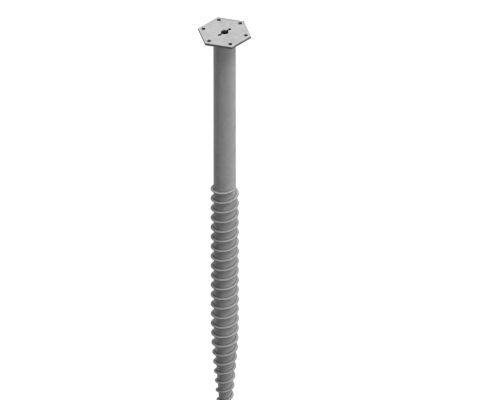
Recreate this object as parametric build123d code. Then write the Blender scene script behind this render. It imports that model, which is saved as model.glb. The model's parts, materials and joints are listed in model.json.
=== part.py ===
from build123d import *
import math
import os

# Foundation ground screw: a steel tube with a swaged point, a long helical fin, and a
# drilled hexagonal flange plate at the head, all welded together and galvanised.
# Millimetres. The screw is modelled upright, head up, with the flange's outer face at
# height 0, and is then laid down on one flat of the flange and the rim of its fin.
# Bearings are angles about the screw's axis, anticlockwise as seen from the head.

# Flange plate
flange_across_flats = 160.0
flange_thickness = 10.0
flange_edge_break = 0.8
corner_bearing = 45.0  # of one corner of the hexagon; the key slot lies along it
flange_sides = 6
bolt_hole_diameter = 14.0
bolt_edge_distance = 16.0  # hole centre to the two flats beside it
centre_hole_diameter = 26.0
key_hole_diameter = 11.0
key_hole_offset = 23.8  # from the axis, one on each side
key_neck_width = 6.0

# Tube and its point
overall_length = 1800.0
tube_diameter = 76.1
tube_wall = 3.6
point_start = 1230.0  # depth at which the point begins
nose_radius = 4.0
solid_point_length = 70.0

# Helical fin, right-handed
fin_pitch = 40.0
fin_start = 630.0  # depth of its upper end
fin_start_bearing = -45.0
fin_end_clearance = 50.0  # from its lower end to the tip
fin_height = 10.2
fin_root_thickness = 6.0
fin_rim_thickness = 1.8
fin_seat_gap = 0.1

# Weld between the flange and the tube
weld_leg = 6.0

# Which flat of the flange is underneath when the screw lies down
rest_bearing = corner_bearing + 30.0

# Derived sizes
flange_apothem = flange_across_flats / 2
flange_corner_radius = flange_apothem / math.cos(math.pi / flange_sides)
bolt_circle_radius = (flange_apothem - bolt_edge_distance) / math.cos(math.pi / flange_sides)
tube_radius = tube_diameter / 2
bore_radius = tube_radius - tube_wall
fin_rim_radius = tube_radius + fin_height
rim_ratio = fin_rim_radius / tube_radius

# The point is a cone tangent to its ball nose.
nose_centre_depth = overall_length - nose_radius
point_run = nose_centre_depth - point_start
point_slope_angle = math.acos(nose_radius / math.hypot(tube_radius, point_run)) - math.atan2(
    point_run, tube_radius
)
point_taper = math.tan(point_slope_angle)


def tube_radius_at(depth):
    """Outer radius of the tube or its point at a depth below the flange's outer face."""
    return tube_radius - point_taper * max(0.0, depth - point_start)


def make_flange_plate():
    """Hexagonal plate with six bolt holes and a centre hole with two key holes."""
    blank = extrude(
        RegularPolygon(flange_corner_radius, flange_sides, rotation=corner_bearing),
        -flange_thickness,
    )
    blank = chamfer(blank.edges().filter_by(Axis.Z, reverse=True), flange_edge_break)

    bolt_holes = PolarLocations(bolt_circle_radius, flange_sides, start_angle=corner_bearing)
    openings = Sketch() + [place * Circle(bolt_hole_diameter / 2) for place in bolt_holes]
    openings += Circle(centre_hole_diameter / 2)
    openings += Rot(Z=corner_bearing) * Rectangle(2 * key_hole_offset, key_neck_width)
    for place in PolarLocations(key_hole_offset, 2, start_angle=corner_bearing):
        openings += place * Circle(key_hole_diameter / 2)
    return blank - extrude(openings, -flange_thickness)


def make_shaft_tube():
    """Tube butted to the flange, closed at the lower end by its long swaged point."""
    top = -flange_thickness
    shoulder = -point_start
    nose_top = Vector(
        nose_radius * math.cos(point_slope_angle),
        -nose_centre_depth - nose_radius * math.sin(point_slope_angle),
    )
    nose_middle = Vector(
        nose_radius * math.sin(math.radians(45)),
        -nose_centre_depth - nose_radius * math.cos(math.radians(45)),
    )
    bore_end = overall_length - solid_point_length
    bore_end_radius = tube_radius_at(bore_end) - tube_wall

    outside = Polyline((bore_radius, top), (tube_radius, top), (tube_radius, shoulder), nose_top)
    nose = ThreePointArc(nose_top, nose_middle, (0, -overall_length))
    inside = Polyline(
        (0, -overall_length),
        (0, -bore_end),
        (bore_end_radius, -bore_end),
        (bore_radius, shoulder),
        (bore_radius, top),
    )
    section = Plane.XZ * make_face(outside + nose + inside)
    return revolve(section, Axis.Z)


def fin_corner(depth, side):
    """Radius and depth of one corner of the fin's section; side is (root or rim, up or down)."""
    place, sign = side
    if place == "root":
        corner_depth = depth + sign * fin_root_thickness / 2
        return tube_radius_at(corner_depth) + fin_seat_gap, corner_depth
    return rim_ratio * tube_radius_at(depth), depth + sign * fin_rim_thickness / 2


def fin_bearing_at(depth):
    """Bearing of the fin's section at a depth, for a right-hand screw."""
    return fin_start_bearing - 360.0 * (depth - fin_start) / fin_pitch


def corner_helix(upper_depth, lower_depth, side):
    """One corner of the fin's section, followed from the lower depth up to the upper one."""
    upper_radius, upper_corner = fin_corner(upper_depth, side)
    lower_radius, lower_corner = fin_corner(lower_depth, side)
    rise = lower_corner - upper_corner
    flare = math.atan2(upper_radius - lower_radius, rise)
    pitch_along_slope = fin_pitch / math.cos(flare)
    helix = Edge.make_helix(
        pitch_along_slope,
        rise,
        lower_radius,
        center=(0, 0, -lower_corner),
        angle=math.degrees(flare),
    )
    return helix.rotate(Axis.Z, fin_bearing_at(lower_depth))


def turns_between(upper_depth, lower_depth):
    """Depths that part a stretch of the fin into equal lengths of about one turn."""
    count = math.ceil((lower_depth - upper_depth) / fin_pitch)
    step = (lower_depth - upper_depth) / count
    return [upper_depth + step * turn for turn in range(count)]


def make_helix_fin():
    """Fin of tapered section: four corner helices, ruled faces between them, two flat ends."""
    section_sides = [("root", -1), ("rim", -1), ("rim", 1), ("root", 1)]
    half_root = fin_root_thickness / 2
    fin_end = overall_length - fin_end_clearance
    # The section's corners pass from the tube to its point at the three depths in the middle.
    stations = turns_between(fin_start, point_start - half_root)
    stations += [point_start - half_root, point_start]
    stations += turns_between(point_start + half_root, fin_end)
    stations += [fin_end]

    faces = []
    for upper, lower in zip(stations, stations[1:]):
        corners = [corner_helix(upper, lower, side) for side in section_sides]
        for first, second in zip(corners, corners[1:] + corners[:1]):
            faces.append(Face.make_surface_from_curves(first, second))

    for depth in (stations[0], stations[-1]):
        bearing = math.radians(fin_bearing_at(depth))
        outline = []
        for side in section_sides:
            radius, corner_depth = fin_corner(depth, side)
            outline.append(
                (radius * math.cos(bearing), radius * math.sin(bearing), -corner_depth)
            )
        faces.append(Face(Wire.make_polygon(outline)))
    return Solid(Shell(faces))


def make_flange_weld():
    """Fillet weld all round, between the underside of the flange and the tube."""
    root = (tube_radius, -flange_thickness)
    flange_toe = (tube_radius + weld_leg, -flange_thickness)
    tube_toe = (tube_radius, -flange_thickness - weld_leg)
    section = Plane.XZ * make_face(Polyline(root, flange_toe, tube_toe, close=True))
    return revolve(section, Axis.Z)


def lying_location():
    """Where the upright screw goes so that a flange flat and the fin's rim both touch height 0."""
    # Full-radius turns of the fin touch down where their bearing is the resting one.
    turns_to_contact = (fin_start_bearing - rest_bearing) / 360.0
    last_turn = math.floor((point_start - fin_start) / fin_pitch - turns_to_contact)
    contact_depth = fin_start + fin_pitch * (turns_to_contact + last_turn)
    contact_depth += fin_rim_thickness / 2

    # The flange touches on the lower edge of its flat.
    edge_depth = flange_thickness - flange_edge_break
    tilt = math.atan2(flange_apothem - fin_rim_radius, contact_depth - edge_depth)

    height = flange_apothem * math.cos(tilt) + edge_depth * math.sin(tilt)
    head_end = max(
        flange_apothem * math.sin(tilt) - flange_edge_break * math.cos(tilt),
        (flange_apothem - flange_edge_break) * math.sin(tilt),
    )
    tip_end = -nose_centre_depth * math.cos(tilt) - nose_radius
    middle = (head_end + tip_end) / 2
    return Pos(-middle, 0, height) * Rot(Y=90 - math.degrees(tilt)) * Rot(Z=-rest_bearing)


nodes = {
    "flange_plate": make_flange_plate(),
    "shaft_tube": make_shaft_tube(),
    "helix_fin": make_helix_fin(),
    "flange_weld": make_flange_weld(),
}

lying = lying_location()
os.makedirs("parts", exist_ok=True)
for name, shape in nodes.items():
    export_step(lying * shape, f"parts/{name}.step")
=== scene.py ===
import functools
import json
import math

import bmesh
import bpy
from mathutils import Matrix, Vector
from mathutils.geometry import tessellate_polygon


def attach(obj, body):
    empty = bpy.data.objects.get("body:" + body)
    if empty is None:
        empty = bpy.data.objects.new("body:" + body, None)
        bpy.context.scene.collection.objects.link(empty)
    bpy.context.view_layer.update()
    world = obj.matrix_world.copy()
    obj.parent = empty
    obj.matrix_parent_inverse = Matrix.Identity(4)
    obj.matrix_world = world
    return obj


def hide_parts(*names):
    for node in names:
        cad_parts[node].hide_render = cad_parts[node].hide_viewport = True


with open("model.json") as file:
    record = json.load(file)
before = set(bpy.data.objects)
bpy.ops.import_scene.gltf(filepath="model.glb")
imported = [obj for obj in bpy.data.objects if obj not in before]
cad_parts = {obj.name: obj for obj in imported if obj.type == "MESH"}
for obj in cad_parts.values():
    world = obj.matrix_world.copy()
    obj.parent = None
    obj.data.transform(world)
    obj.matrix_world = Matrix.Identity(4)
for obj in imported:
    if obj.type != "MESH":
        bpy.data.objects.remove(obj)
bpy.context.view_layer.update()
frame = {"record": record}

# A ground screw lying on one flat of its hexagonal flange and the rim of its fin.
# Metres. A depth is measured from the flange's outer face towards the tip; a bearing is
# an angle about the screw's axis, anticlockwise as seen from the head.

# ---------------------------------------------------------------- sizes, as in the CAD model
FLANGE_THICKNESS = 0.010
FLANGE_APOTHEM = 0.080
FLANGE_SIDES = 6
SIDE_ANGLE = 360.0 / FLANGE_SIDES
CORNER_BEARING = 45.0
BOLT_HOLE_RADIUS = 0.007
BOLT_EDGE_DISTANCE = 0.016
CENTRE_HOLE_RADIUS = 0.013
KEY_HOLE_RADIUS = 0.0055
KEY_HOLE_OFFSET = 0.0238
KEY_NECK_WIDTH = 0.006
REST_BEARING = CORNER_BEARING + SIDE_ANGLE / 2
TUBE_RADIUS = 0.03805
BORE_RADIUS = 0.03445
POINT_START = 1.230
OVERALL_LENGTH = 1.800
NOSE_RADIUS = 0.004
SOLID_POINT_LENGTH = 0.070
FIN_PITCH = 0.040
FIN_START = 0.630
FIN_START_BEARING = -45.0
FIN_END = OVERALL_LENGTH - 0.050
FIN_HEIGHT = 0.0102
FIN_ROOT_THICKNESS = 0.006
FIN_RIM_THICKNESS = 0.0018
WELD_LEG = 0.006

# In the point the fin's rim follows the ground line, then tapers on a cone of its own.
# It stands up to 4.5 mm above the CAD solid's rim there, inside the CAD box.
RIM_CONE_START = 1.2535
RIM_CONE_TAPER = 0.0709

# Weld beads along the fin's root, which the CAD model leaves out, and ripples of both welds
SEAM_LEG = 0.0022
SEAM_SUNK = 0.0003
SEAM_END_GAPS = (0.001, 0.010)
SEAM_RIPPLES_PER_TURN = 72
WELD_RIPPLE = 0.0034
WELD_STEPS_PER_RIPPLE = 6
WELD_ARC_STEPS = 6
SUNK_IN_TUBE = 0.0002

# Rounded edges. Those round the plate lie inside the CAD model's chamfers.
PLATE_EDGE_ROUND = 0.0014
PLATE_CORNER_ROUND = 0.0004
HOLE_EDGE_ROUND = 0.0005

# Steps that curves are drawn with
TUBE_SEGMENTS = 96
NOSE_STEPS = 6
FIN_STEPS_PER_TURN = 48
SEAM_STEPS_PER_RIPPLE = 4
BOLT_HOLE_SEGMENTS = 40
SLOT_ARC_STEPS = 24
CORNER_STEPS = 3
PLATE_EDGE_STEPS = 5
HOLE_EDGE_STEPS = 3

# How much darker the cut faces come out: darker zinc on cut edges, and painted shade on the
# plate's sides and hole walls, where the photograph has dark lines
CUT_FACE_ZINC_AND_PAINTED_SHADE = 0.27

# ---------------------------------------------------------------- the screw's own directions
mounts = {mount["name"]: mount for mount in frame["record"]["mounts"]}
centre_hole = mounts["centre_hole"]
HEADWARD = Vector(centre_hole["axis"]).normalized()
SIDEWARD = Vector((0, 1, 0))
UPWARD = HEADWARD.cross(SIDEWARD).normalized()
half_hole = centre_hole["dims"]["length_mm"] / 2000
FACE_CENTRE = Vector(centre_hole["pos_m"]) + HEADWARD * half_hole


def direction(bearing):
    """Unit vector square to the axis at a bearing in degrees."""
    angle = math.radians(bearing - REST_BEARING - 90)
    return SIDEWARD * math.cos(angle) + UPWARD * math.sin(angle)


def place(depth, radius, bearing):
    return FACE_CENTRE - HEADWARD * depth + direction(bearing) * radius


# The point is a cone tangent to its ball nose.
point_run = OVERALL_LENGTH - NOSE_RADIUS - POINT_START
point_angle = math.acos(NOSE_RADIUS / math.hypot(TUBE_RADIUS, point_run))
point_angle -= math.atan2(point_run, TUBE_RADIUS)
POINT_TAPER = math.tan(point_angle)
FIN_RIM_RADIUS = TUBE_RADIUS + FIN_HEIGHT

# The last full turn of the fin to touch the ground, and how fast the ground nears the axis.
turns_to_ground = (FIN_START_BEARING - REST_BEARING) / 360.0
last_turn = math.floor((POINT_START - FIN_START) / FIN_PITCH - turns_to_ground)
GROUND_DEPTH = FIN_START + FIN_PITCH * (turns_to_ground + last_turn) + FIN_RIM_THICKNESS / 2
GROUND_TAPER = HEADWARD.z / HEADWARD.x


def tube_radius_at(depth):
    return TUBE_RADIUS - POINT_TAPER * max(0.0, depth - POINT_START)


def rim_radius_at(depth):
    past_ground = max(0.0, depth + FIN_RIM_THICKNESS - GROUND_DEPTH)
    along_ground = FIN_RIM_RADIUS - GROUND_TAPER * past_ground
    along_cone = FIN_RIM_RADIUS - RIM_CONE_TAPER * max(0.0, depth - RIM_CONE_START)
    return min(along_ground, along_cone)


def fin_bearing_at(depth):
    return FIN_START_BEARING - 360.0 * (depth - FIN_START) / FIN_PITCH


# ---------------------------------------------------------------- mesh helpers
def new_piece(name, points, faces, material, replaced=None):
    mesh = bpy.data.meshes.new(name)
    mesh.from_pydata([tuple(point) for point in points], [], faces)
    mesh.validate()
    shape = bmesh.new()
    shape.from_mesh(mesh)
    bmesh.ops.recalc_face_normals(shape, faces=shape.faces)
    shape.to_mesh(mesh)
    shape.free()
    for polygon in mesh.polygons:
        polygon.use_smooth = True
    piece = bpy.data.objects.new(name, mesh)
    bpy.context.scene.collection.objects.link(piece)
    mesh.materials.append(material)
    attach(piece, "root")
    if replaced:
        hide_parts(replaced)
    return piece


def keep_edges_crisp(piece, degrees):
    """Marks as sharp the edges that turn by more than an angle, and shades the rest smooth."""
    shape = bmesh.new()
    shape.from_mesh(piece.data)
    for edge in shape.edges:
        if len(edge.link_faces) == 2:
            edge.smooth = edge.calc_face_angle(0.0) < math.radians(degrees)
    shape.to_mesh(piece.data)
    shape.free()


def mark_cut_and_shaded_faces(piece, is_cut):
    """Stores on each face whether it was cut; these faces come out darker, as darker zinc and as
    painted shade on the plate's sides and hole walls.
    """
    faces = piece.data.polygons
    marks = piece.data.attributes.new("cut_and_shaded", "FLOAT", "FACE")
    marks.data.foreach_set("value", [1.0 if is_cut(face) else 0.0 for face in faces])


# ---------------------------------------------------------------- materials
def node(tree, kind, **settings):
    made = tree.nodes.new(kind)
    for key, value in settings.items():
        if key in made.inputs:
            made.inputs[key].default_value = value
        else:
            setattr(made, key, value)
    return made


def mixed(tree, first, second, factor):
    mix = node(tree, "ShaderNodeMix", data_type="FLOAT")
    mix.inputs[0].default_value = factor
    tree.links.new(first, mix.inputs[2])
    tree.links.new(second, mix.inputs[3])
    return mix.outputs[0]


def mapped(tree, value, low, high, out_low, out_high):
    spread = node(tree, "ShaderNodeMapRange")
    spread.inputs["From Min"].default_value = low
    spread.inputs["From Max"].default_value = high
    spread.inputs["To Min"].default_value = out_low
    spread.inputs["To Max"].default_value = out_high
    tree.links.new(value, spread.inputs["Value"])
    return spread.outputs["Result"]


def galvanised(name, base, roughness, spangle_scale, runs, reach=0.012):
    """Matt hot-dip zinc: spangle, clouding, faint runs along the screw, grain; painted shade in
    crevices, and cut faces darker, partly as painted shade.
    """
    material = bpy.data.materials.new(name)
    material.use_nodes = True
    tree = material.node_tree
    link = tree.links.new
    shader = tree.nodes["Principled BSDF"]
    shader.inputs["Metallic"].default_value = 0.15
    shader.inputs["IOR"].default_value = 1.45

    where = node(tree, "ShaderNodeTexCoord")
    warp = node(tree, "ShaderNodeTexNoise", Scale=60.0, Detail=2.0)
    link(where.outputs["Object"], warp.inputs["Vector"])
    bent = node(tree, "ShaderNodeMix", data_type="VECTOR")
    bent.inputs[0].default_value = 0.006
    link(where.outputs["Object"], bent.inputs[4])
    link(warp.outputs["Color"], bent.inputs[5])
    spangle = node(tree, "ShaderNodeTexVoronoi", Scale=spangle_scale)
    link(bent.outputs[1], spangle.inputs["Vector"])
    crystal = node(tree, "ShaderNodeSeparateColor")
    link(spangle.outputs["Color"], crystal.inputs["Color"])

    along = node(tree, "ShaderNodeMapping")
    along.inputs["Scale"].default_value = (2.5, 70.0, 70.0)
    link(where.outputs["Object"], along.inputs["Vector"])
    streak = node(tree, "ShaderNodeTexNoise", Scale=1.0, Detail=6.0, Roughness=0.6)
    link(along.outputs["Vector"], streak.inputs["Vector"])
    cloud = node(tree, "ShaderNodeTexNoise", Scale=22.0, Detail=5.0, Roughness=0.62)
    link(where.outputs["Object"], cloud.inputs["Vector"])
    grain = node(tree, "ShaderNodeTexNoise", Scale=700.0, Detail=3.0, Roughness=0.6)
    link(where.outputs["Object"], grain.inputs["Vector"])

    zinc = mixed(tree, cloud.outputs["Fac"], streak.outputs["Fac"], runs)
    zinc = mixed(tree, zinc, crystal.outputs["Red"], 0.22)
    zinc = mixed(tree, zinc, grain.outputs["Fac"], 0.15)

    tone = node(tree, "ShaderNodeValToRGB")
    ends = tone.color_ramp.elements
    ends[0].position, ends[1].position = 0.3, 0.7
    ends[0].color = (*[channel * 0.90 for channel in base], 1)
    ends[1].color = (*[channel * 1.10 for channel in base], 1)
    link(zinc, tone.inputs["Fac"])

    # Ambient occlusion paints shade into the colour in crevices, hole walls and under the fin's
    # turns
    painted_crevice_shade = node(tree, "ShaderNodeAmbientOcclusion", samples=8)
    painted_crevice_shade.inputs["Distance"].default_value = reach
    shade = mapped(tree, painted_crevice_shade.outputs["AO"], 0.25, 0.9, 0.35, 1.0)
    # Cut faces are darkened: darker zinc, and painted shade on the plate's sides and hole walls
    cut = node(tree, "ShaderNodeAttribute", attribute_name="cut_and_shaded")
    cut_shade = node(tree, "ShaderNodeMath", operation="MULTIPLY")
    link(shade, cut_shade.inputs[0])
    link(mapped(tree, cut.outputs["Fac"], 0.0, 1.0, 1.0, CUT_FACE_ZINC_AND_PAINTED_SHADE), cut_shade.inputs[1])
    darkened = node(tree, "ShaderNodeMix", data_type="RGBA", blend_type="MULTIPLY")
    darkened.inputs[0].default_value = 1.0
    link(tone.outputs["Color"], darkened.inputs[6])
    link(cut_shade.outputs[0], darkened.inputs[7])
    link(darkened.outputs[2], shader.inputs["Base Color"])
    dullness = mapped(tree, zinc, 0.3, 0.7, roughness + 0.08, roughness - 0.08)
    link(dullness, shader.inputs["Roughness"])

    grain_bump = node(tree, "ShaderNodeBump", Strength=0.2, Distance=0.0004)
    link(grain.outputs["Fac"], grain_bump.inputs["Height"])
    zinc_bump = node(tree, "ShaderNodeBump", Strength=0.3, Distance=0.0008)
    link(zinc, zinc_bump.inputs["Height"])
    link(grain_bump.outputs["Normal"], zinc_bump.inputs["Normal"])
    link(zinc_bump.outputs["Normal"], shader.inputs["Normal"])
    return material


plate_zinc = galvanised("zinc_plate", (0.630, 0.630, 0.632), 0.56, 95.0, 0.15, reach=0.020)
tube_zinc = galvanised("zinc_tube", (0.515, 0.515, 0.517), 0.56, 80.0, 0.55)
fin_zinc = galvanised("zinc_fin", (0.500, 0.500, 0.502), 0.56, 120.0, 0.25)
weld_zinc = galvanised("zinc_weld", (0.420, 0.420, 0.422), 0.58, 160.0, 0.2)
seam_zinc = galvanised("zinc_seam", (0.290, 0.290, 0.292), 0.58, 160.0, 0.2)


# ---------------------------------------------------------------- flange plate
def ring_arc(centre, radius, start, end, steps):
    """Points along an arc in the plate's own plane, with angles in degrees."""
    points = []
    for step in range(steps + 1):
        angle = math.radians(start + (end - start) * step / steps)
        points.append(
            (centre[0] + radius * math.cos(angle), centre[1] + radius * math.sin(angle))
        )
    return points


def hexagon_outline(inset):
    reach = (FLANGE_APOTHEM - inset - PLATE_CORNER_ROUND) / math.cos(math.pi / FLANGE_SIDES)
    outline = []
    for side in range(FLANGE_SIDES):
        bearing = CORNER_BEARING + side * SIDE_ANGLE
        angle = math.radians(bearing)
        centre = (reach * math.cos(angle), reach * math.sin(angle))
        start, end = bearing - SIDE_ANGLE / 2, bearing + SIDE_ANGLE / 2
        outline += ring_arc(centre, PLATE_CORNER_ROUND, start, end, CORNER_STEPS)
    return outline


def bolt_hole_outline(side, grown):
    circle_radius = (FLANGE_APOTHEM - BOLT_EDGE_DISTANCE) / math.cos(math.pi / FLANGE_SIDES)
    angle = math.radians(CORNER_BEARING + side * SIDE_ANGLE)
    centre = (circle_radius * math.cos(angle), circle_radius * math.sin(angle))
    return ring_arc(centre, BOLT_HOLE_RADIUS + grown, 0, 360, BOLT_HOLE_SEGMENTS)[:-1]


def key_slot_outline(grown):
    """The centre hole, with a key hole on each side that a narrow neck joins to it."""
    centre_radius = CENTRE_HOLE_RADIUS + grown
    ear_radius = KEY_HOLE_RADIUS + grown
    half_neck = KEY_NECK_WIDTH / 2 + grown
    at_centre = math.degrees(math.asin(half_neck / centre_radius))
    at_ear = math.degrees(math.asin(half_neck / ear_radius))
    outline = []
    for turn in (0, 180):
        ear_centre = (KEY_HOLE_OFFSET, 0)
        half = ring_arc(ear_centre, ear_radius, at_ear - 180, 180 - at_ear, SLOT_ARC_STEPS)
        half += ring_arc((0, 0), centre_radius, at_centre, 180 - at_centre, SLOT_ARC_STEPS)
        angle = math.radians(turn + CORNER_BEARING)
        for x, y in half:
            outline.append(
                (
                    x * math.cos(angle) - y * math.sin(angle),
                    x * math.sin(angle) + y * math.cos(angle),
                )
            )
    return outline


def rounded_levels(rounding, steps):
    """(offset, depth) pairs through the plate, with both its edges rounded."""
    levels = []
    for step in range(steps + 1):
        angle = math.pi / 2 * step / steps
        levels.append((rounding * (1 - math.sin(angle)), rounding * (1 - math.cos(angle))))
    return levels + [(offset, FLANGE_THICKNESS - depth) for offset, depth in reversed(levels)]


def make_plate():
    points, faces = [], []

    def wall(outline_at, rounding, steps):
        rings = []
        for offset, depth in rounded_levels(rounding, steps):
            outline = outline_at(offset)
            rings.append(list(range(len(points), len(points) + len(outline))))
            for x, y in outline:
                points.append(place(depth, math.hypot(x, y), math.degrees(math.atan2(y, x))))
        for upper, lower in zip(rings, rings[1:]):
            for index in range(len(upper)):
                after = (index + 1) % len(upper)
                faces.append([upper[index], upper[after], lower[after], lower[index]])
        return rings[0], rings[-1]

    walls = [wall(hexagon_outline, PLATE_EDGE_ROUND, PLATE_EDGE_STEPS)]
    for side in range(FLANGE_SIDES):
        hole_outline = functools.partial(bolt_hole_outline, side)
        walls.append(wall(hole_outline, HOLE_EDGE_ROUND, HOLE_EDGE_STEPS))
    walls.append(wall(key_slot_outline, HOLE_EDGE_ROUND, HOLE_EDGE_STEPS))
    for end in (0, 1):
        loops = [ends[end] for ends in walls]
        order = [index for loop in loops for index in loop]
        for triangle in tessellate_polygon([[points[index] for index in loop] for loop in loops]):
            faces.append([order[corner] for corner in triangle])
    plate = new_piece(
        "plate_surface", points, faces, plate_zinc, "flange_plate"
    )
    for polygon in plate.data.polygons:
        along = abs(polygon.normal.dot(HEADWARD))
        is_face = along > 0.9999
        is_side = along < 0.01 and polygon.area > 1e-4
        polygon.use_smooth = not (is_face or is_side)
    # The plate's sides, edge roundings and hole walls get darker zinc and painted shade
    mark_cut_and_shaded_faces(plate, lambda face: abs(face.normal.dot(HEADWARD)) < 0.5)
    return plate


# ---------------------------------------------------------------- tube and point
def turned(name, outline, segments, material, replaced):
    """A closed body of revolution from (depth, radius) points; a zero radius closes an end."""
    points, rings = [], []
    for depth, radius in outline:
        if radius < 1e-9:
            rings.append([len(points)] * segments)
            points.append(place(depth, 0.0, 0.0))
            continue
        rings.append(list(range(len(points), len(points) + segments)))
        for step in range(segments):
            points.append(place(depth, radius, 360.0 * step / segments))
    faces = []
    for upper, lower in zip(rings, rings[1:] + rings[:1]):
        for step in range(segments):
            after = (step + 1) % segments
            corners = [upper[step], upper[after], lower[after], lower[step]]
            corners = list(dict.fromkeys(corners))
            if len(corners) > 2:
                faces.append(corners)
    return new_piece(name, points, faces, material, replaced)


def stretch(first, last, step):
    """Points from first up to but not with last, evenly spaced and at most a step apart."""
    count = max(1, math.ceil(math.dist(first, last) / step))
    return [
        tuple(a + (b - a) * index / count for a, b in zip(first, last)) for index in range(count)
    ]


def make_tube():
    nose_centre = OVERALL_LENGTH - NOSE_RADIUS
    nose_top = (
        nose_centre + NOSE_RADIUS * math.sin(point_angle),
        NOSE_RADIUS * math.cos(point_angle),
    )
    bore_end = OVERALL_LENGTH - SOLID_POINT_LENGTH
    wall = TUBE_RADIUS - BORE_RADIUS
    bore_end_point = (bore_end, tube_radius_at(bore_end) - wall)
    outline = stretch((FLANGE_THICKNESS, TUBE_RADIUS), (POINT_START, TUBE_RADIUS), 0.030)
    outline += stretch((POINT_START, TUBE_RADIUS), nose_top, 0.015)
    for step in range(NOSE_STEPS):
        angle = point_angle + (math.pi / 2 - point_angle) * step / NOSE_STEPS
        outline.append(
            (nose_centre + NOSE_RADIUS * math.sin(angle), NOSE_RADIUS * math.cos(angle))
        )
    outline += [(OVERALL_LENGTH, 0.0), (bore_end, 0.0)]
    outline += stretch(bore_end_point, (POINT_START, BORE_RADIUS), 0.040)
    outline += stretch((POINT_START, BORE_RADIUS), (FLANGE_THICKNESS, BORE_RADIUS), 0.060)
    outline.append((FLANGE_THICKNESS, BORE_RADIUS))
    tube = turned(
        "tube_surface", outline, TUBE_SEGMENTS, tube_zinc, "shaft_tube"
    )
    keep_edges_crisp(tube, 25)
    return tube


# ---------------------------------------------------------------- fin and its seams
def wound(name, section_at, start, end, steps_per_turn, material, replaced=None):
    """A section carried round the screw: section_at(depth, turn) gives (depth, radius) points."""
    turns = (end - start) / FIN_PITCH
    steps = math.ceil(turns * steps_per_turn)
    points, rows = [], []
    for step in range(steps + 1):
        depth = start + (end - start) * step / steps
        bearing = fin_bearing_at(depth)
        section = section_at(depth, turns * step / steps)
        rows.append(list(range(len(points), len(points) + len(section))))
        points += [place(d, r, bearing) for d, r in section]
    faces = [rows[0], rows[-1][::-1]]
    for upper, lower in zip(rows, rows[1:]):
        for index in range(len(upper)):
            after = (index + 1) % len(upper)
            faces.append([upper[index], upper[after], lower[after], lower[index]])
    return new_piece(name, points, faces, material, replaced)


def fin_section(depth, turn):
    """Tapered section with a rounded rim."""
    half_root = FIN_ROOT_THICKNESS / 2
    half_rim = FIN_RIM_THICKNESS / 2
    rim = rim_radius_at(depth)
    shoulder = rim - half_rim * 0.8
    root_up = tube_radius_at(depth - half_root)
    root_down = tube_radius_at(depth + half_root)
    return [
        (depth - half_root, root_up - SUNK_IN_TUBE),
        (depth - half_rim - (half_root - half_rim) * 0.5, (root_up + shoulder) / 2),
        (depth - half_rim, shoulder),
        (depth - half_rim * 0.7, rim - half_rim * 0.25),
        (depth, rim),
        (depth + half_rim * 0.7, rim - half_rim * 0.25),
        (depth + half_rim, shoulder),
        (depth + half_rim + (half_root - half_rim) * 0.5, (root_down + shoulder) / 2),
        (depth + half_root, root_down - SUNK_IN_TUBE),
    ]


def make_fin():
    fin = wound(
        "fin_surface",
        fin_section,
        FIN_START,
        FIN_END,
        FIN_STEPS_PER_TURN,
        fin_zinc,
        "helix_fin",
    )
    keep_edges_crisp(fin, 40)

    def on_rim(face):
        offset = face.center - FACE_CENTRE
        depth = -offset.dot(HEADWARD)
        radius = (offset + HEADWARD * depth).length
        return radius > rim_radius_at(depth) - FIN_RIM_THICKNESS / 2

    mark_cut_and_shaded_faces(fin, on_rim)
    return fin


def make_seam(name, side):
    """Rippled bead along the root of the fin, on its headward (-1) or tipward (+1) side."""
    half_root = FIN_ROOT_THICKNESS / 2

    def section(depth, turn):
        swell = 0.60 + 0.40 * abs(math.sin(math.pi * SEAM_RIPPLES_PER_TURN * turn))
        leg = SEAM_LEG * swell
        tube = tube_radius_at(depth + side * (half_root + leg / 2))
        lean = (half_root - FIN_RIM_THICKNESS / 2) * leg / FIN_HEIGHT
        on_tube = depth + side * (half_root + leg)
        on_fin = depth + side * (half_root - lean)
        crown = depth + side * (half_root + leg * 0.42)
        inside_fin = on_fin - side * SEAM_SUNK
        return [
            (on_tube, tube - SEAM_SUNK),
            (crown, tube + leg * 0.55),
            (on_fin, tube + leg),
            (inside_fin, tube + leg * 0.8),
            (inside_fin, tube - SEAM_SUNK),
        ]

    steps_per_turn = SEAM_RIPPLES_PER_TURN * SEAM_STEPS_PER_RIPPLE
    start = FIN_START + SEAM_END_GAPS[0]
    end = FIN_END - SEAM_END_GAPS[1]
    return wound(name, section, start, end, steps_per_turn, seam_zinc)


def make_flange_weld():
    """Rippled fillet bead all round under the flange."""
    count = round(2 * math.pi * TUBE_RADIUS / WELD_RIPPLE)
    segments = count * WELD_STEPS_PER_RIPPLE
    points, rows = [], []
    for segment in range(segments):
        phase = (segment / WELD_STEPS_PER_RIPPLE) % 1.0
        swell = 0.86 + 0.12 * math.sin(math.pi * phase) ** 0.7
        bearing = 360.0 * segment / segments
        angle = math.radians(bearing)
        wander = 1 + 0.03 * math.sin(angle * 5) + 0.02 * math.cos(angle * 13)
        leg = WELD_LEG * swell * wander
        root = TUBE_RADIUS - SUNK_IN_TUBE
        section = [(FLANGE_THICKNESS, root)]
        for step in range(WELD_ARC_STEPS + 1):
            share = step / WELD_ARC_STEPS
            bulge = 0.12 * math.sin(math.pi * share) * leg
            down = FLANGE_THICKNESS + leg * share + bulge
            section.append((down, root + leg * (1 - share) + bulge))
        rows.append(list(range(len(points), len(points) + len(section))))
        points += [place(depth, radius, bearing) for depth, radius in section]
    faces = []
    for row, after_row in zip(rows, rows[1:] + rows[:1]):
        for index in range(len(row)):
            after = (index + 1) % len(row)
            faces.append([row[index], row[after], after_row[after], after_row[index]])
    return new_piece(
        "flange_weld_bead", points, faces, weld_zinc, "flange_weld"
    )


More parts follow.
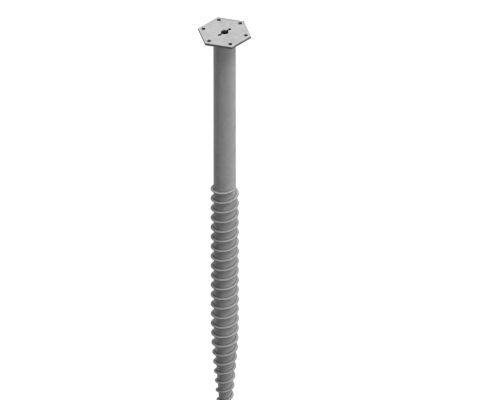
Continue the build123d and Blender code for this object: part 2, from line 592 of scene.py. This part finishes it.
# ---------------------------------------------------------------- camera, at an isometric angle
VIEW_ELEVATION = math.degrees(math.atan(1 / math.sqrt(2)))
VIEWER_BEARING = -90.0
FRAME_WIDTH = 1.666
# The picture's centre, from the centre of the flange's outer face
CENTRE_RIGHT = 0.0771
CENTRE_DOWN = 0.5654
LENS = 1300.0


def make_camera():
    elevation = math.radians(VIEW_ELEVATION)
    back = direction(VIEWER_BEARING) * math.cos(elevation) + HEADWARD * math.sin(elevation)
    right = direction(VIEWER_BEARING + 90)
    up = back.cross(right)
    data = bpy.data.cameras.new("camera")
    data.lens = LENS
    camera = bpy.data.objects.new("camera", data)
    distance = FRAME_WIDTH * data.lens / data.sensor_width
    centre = FACE_CENTRE + right * CENTRE_RIGHT - up * CENTRE_DOWN
    turn = Matrix((right, up, back)).transposed()
    camera.matrix_world = Matrix.Translation(centre + back * distance) @ turn.to_4x4()
    data.clip_start = distance / 10
    data.clip_end = distance * 2
    bpy.context.scene.collection.objects.link(camera)
    bpy.context.scene.camera = camera


# ---------------------------------------------------------------- floor and light
def make_floor():
    mesh = bpy.data.meshes.new("floor")
    half = 40.0
    corners = [(-half, -half, 0), (half, -half, 0), (half, half, 0), (-half, half, 0)]
    mesh.from_pydata(corners, [], [(0, 1, 2, 3)])
    floor = bpy.data.objects.new("floor", mesh)
    bpy.context.scene.collection.objects.link(floor)
    material = bpy.data.materials.new("pale_floor")
    material.use_nodes = True
    tree = material.node_tree
    link = tree.links.new
    matt = tree.nodes["Principled BSDF"]
    matt.inputs["Base Color"].default_value = (0.62, 0.62, 0.62, 1)
    matt.inputs["Roughness"].default_value = 0.9
    matt.inputs["Specular IOR Level"].default_value = 0.0
    glow = node(tree, "ShaderNodeEmission", Strength=0.90)
    seen = node(tree, "ShaderNodeLightPath")
    camera_or_glossy = node(tree, "ShaderNodeMath", operation="MAXIMUM")
    link(seen.outputs["Is Camera Ray"], camera_or_glossy.inputs[0])
    link(seen.outputs["Is Glossy Ray"], camera_or_glossy.inputs[1])
    both = node(tree, "ShaderNodeMath", operation="MAXIMUM")
    link(camera_or_glossy.outputs[0], both.inputs[0])
    link(seen.outputs["Is Transmission Ray"], both.inputs[1])
    shown = node(tree, "ShaderNodeMixShader")
    none = node(tree, "ShaderNodeEmission", Strength=0.0)
    link(both.outputs[0], shown.inputs[0])
    link(none.outputs[0], shown.inputs[1])
    link(glow.outputs[0], shown.inputs[2])
    total = node(tree, "ShaderNodeAddShader")
    link(matt.outputs[0], total.inputs[0])
    link(shown.outputs[0], total.inputs[1])
    link(total.outputs[0], tree.nodes["Material Output"].inputs["Surface"])
    mesh.materials.append(material)


def soft_sun(name, towards, level, spread):
    """A broad soft light from a direction; at level 1 a face square to it shows its own colour."""
    data = bpy.data.lights.new(name, "SUN")
    data.energy = level * math.pi
    data.angle = math.radians(spread)
    lamp = bpy.data.objects.new(name, data)
    lamp.location = place(0.6, 0.0, 0.0) + towards.normalized() * 4
    lamp.rotation_mode = "QUATERNION"
    lamp.rotation_quaternion = towards.to_track_quat("Z", "Y")
    bpy.context.scene.collection.objects.link(lamp)


def make_light():
    world = bpy.data.worlds.new("studio")
    bpy.context.scene.world = world
    world.use_nodes = True
    sky = world.node_tree.nodes["Background"]
    sky.inputs["Color"].default_value = (1, 1, 1, 1)
    sky.inputs["Strength"].default_value = 0.15
    soft_sun("head_light", HEADWARD * 0.95 + direction(-41) * 0.31, level=0.80, spread=40)
    soft_sun("side_light", HEADWARD * 0.15 + direction(-35), level=0.20, spread=30)
    soft_sun("tip_light", HEADWARD * -0.95 + direction(178) * 0.25, level=0.25, spread=30)


make_plate()
make_tube()
make_fin()
make_seam("fin_seam_headward", -1)
make_seam("fin_seam_tipward", 1)
make_flange_weld()
make_floor()
make_light()
make_camera()
bpy.context.scene.view_settings.view_transform = "Standard"
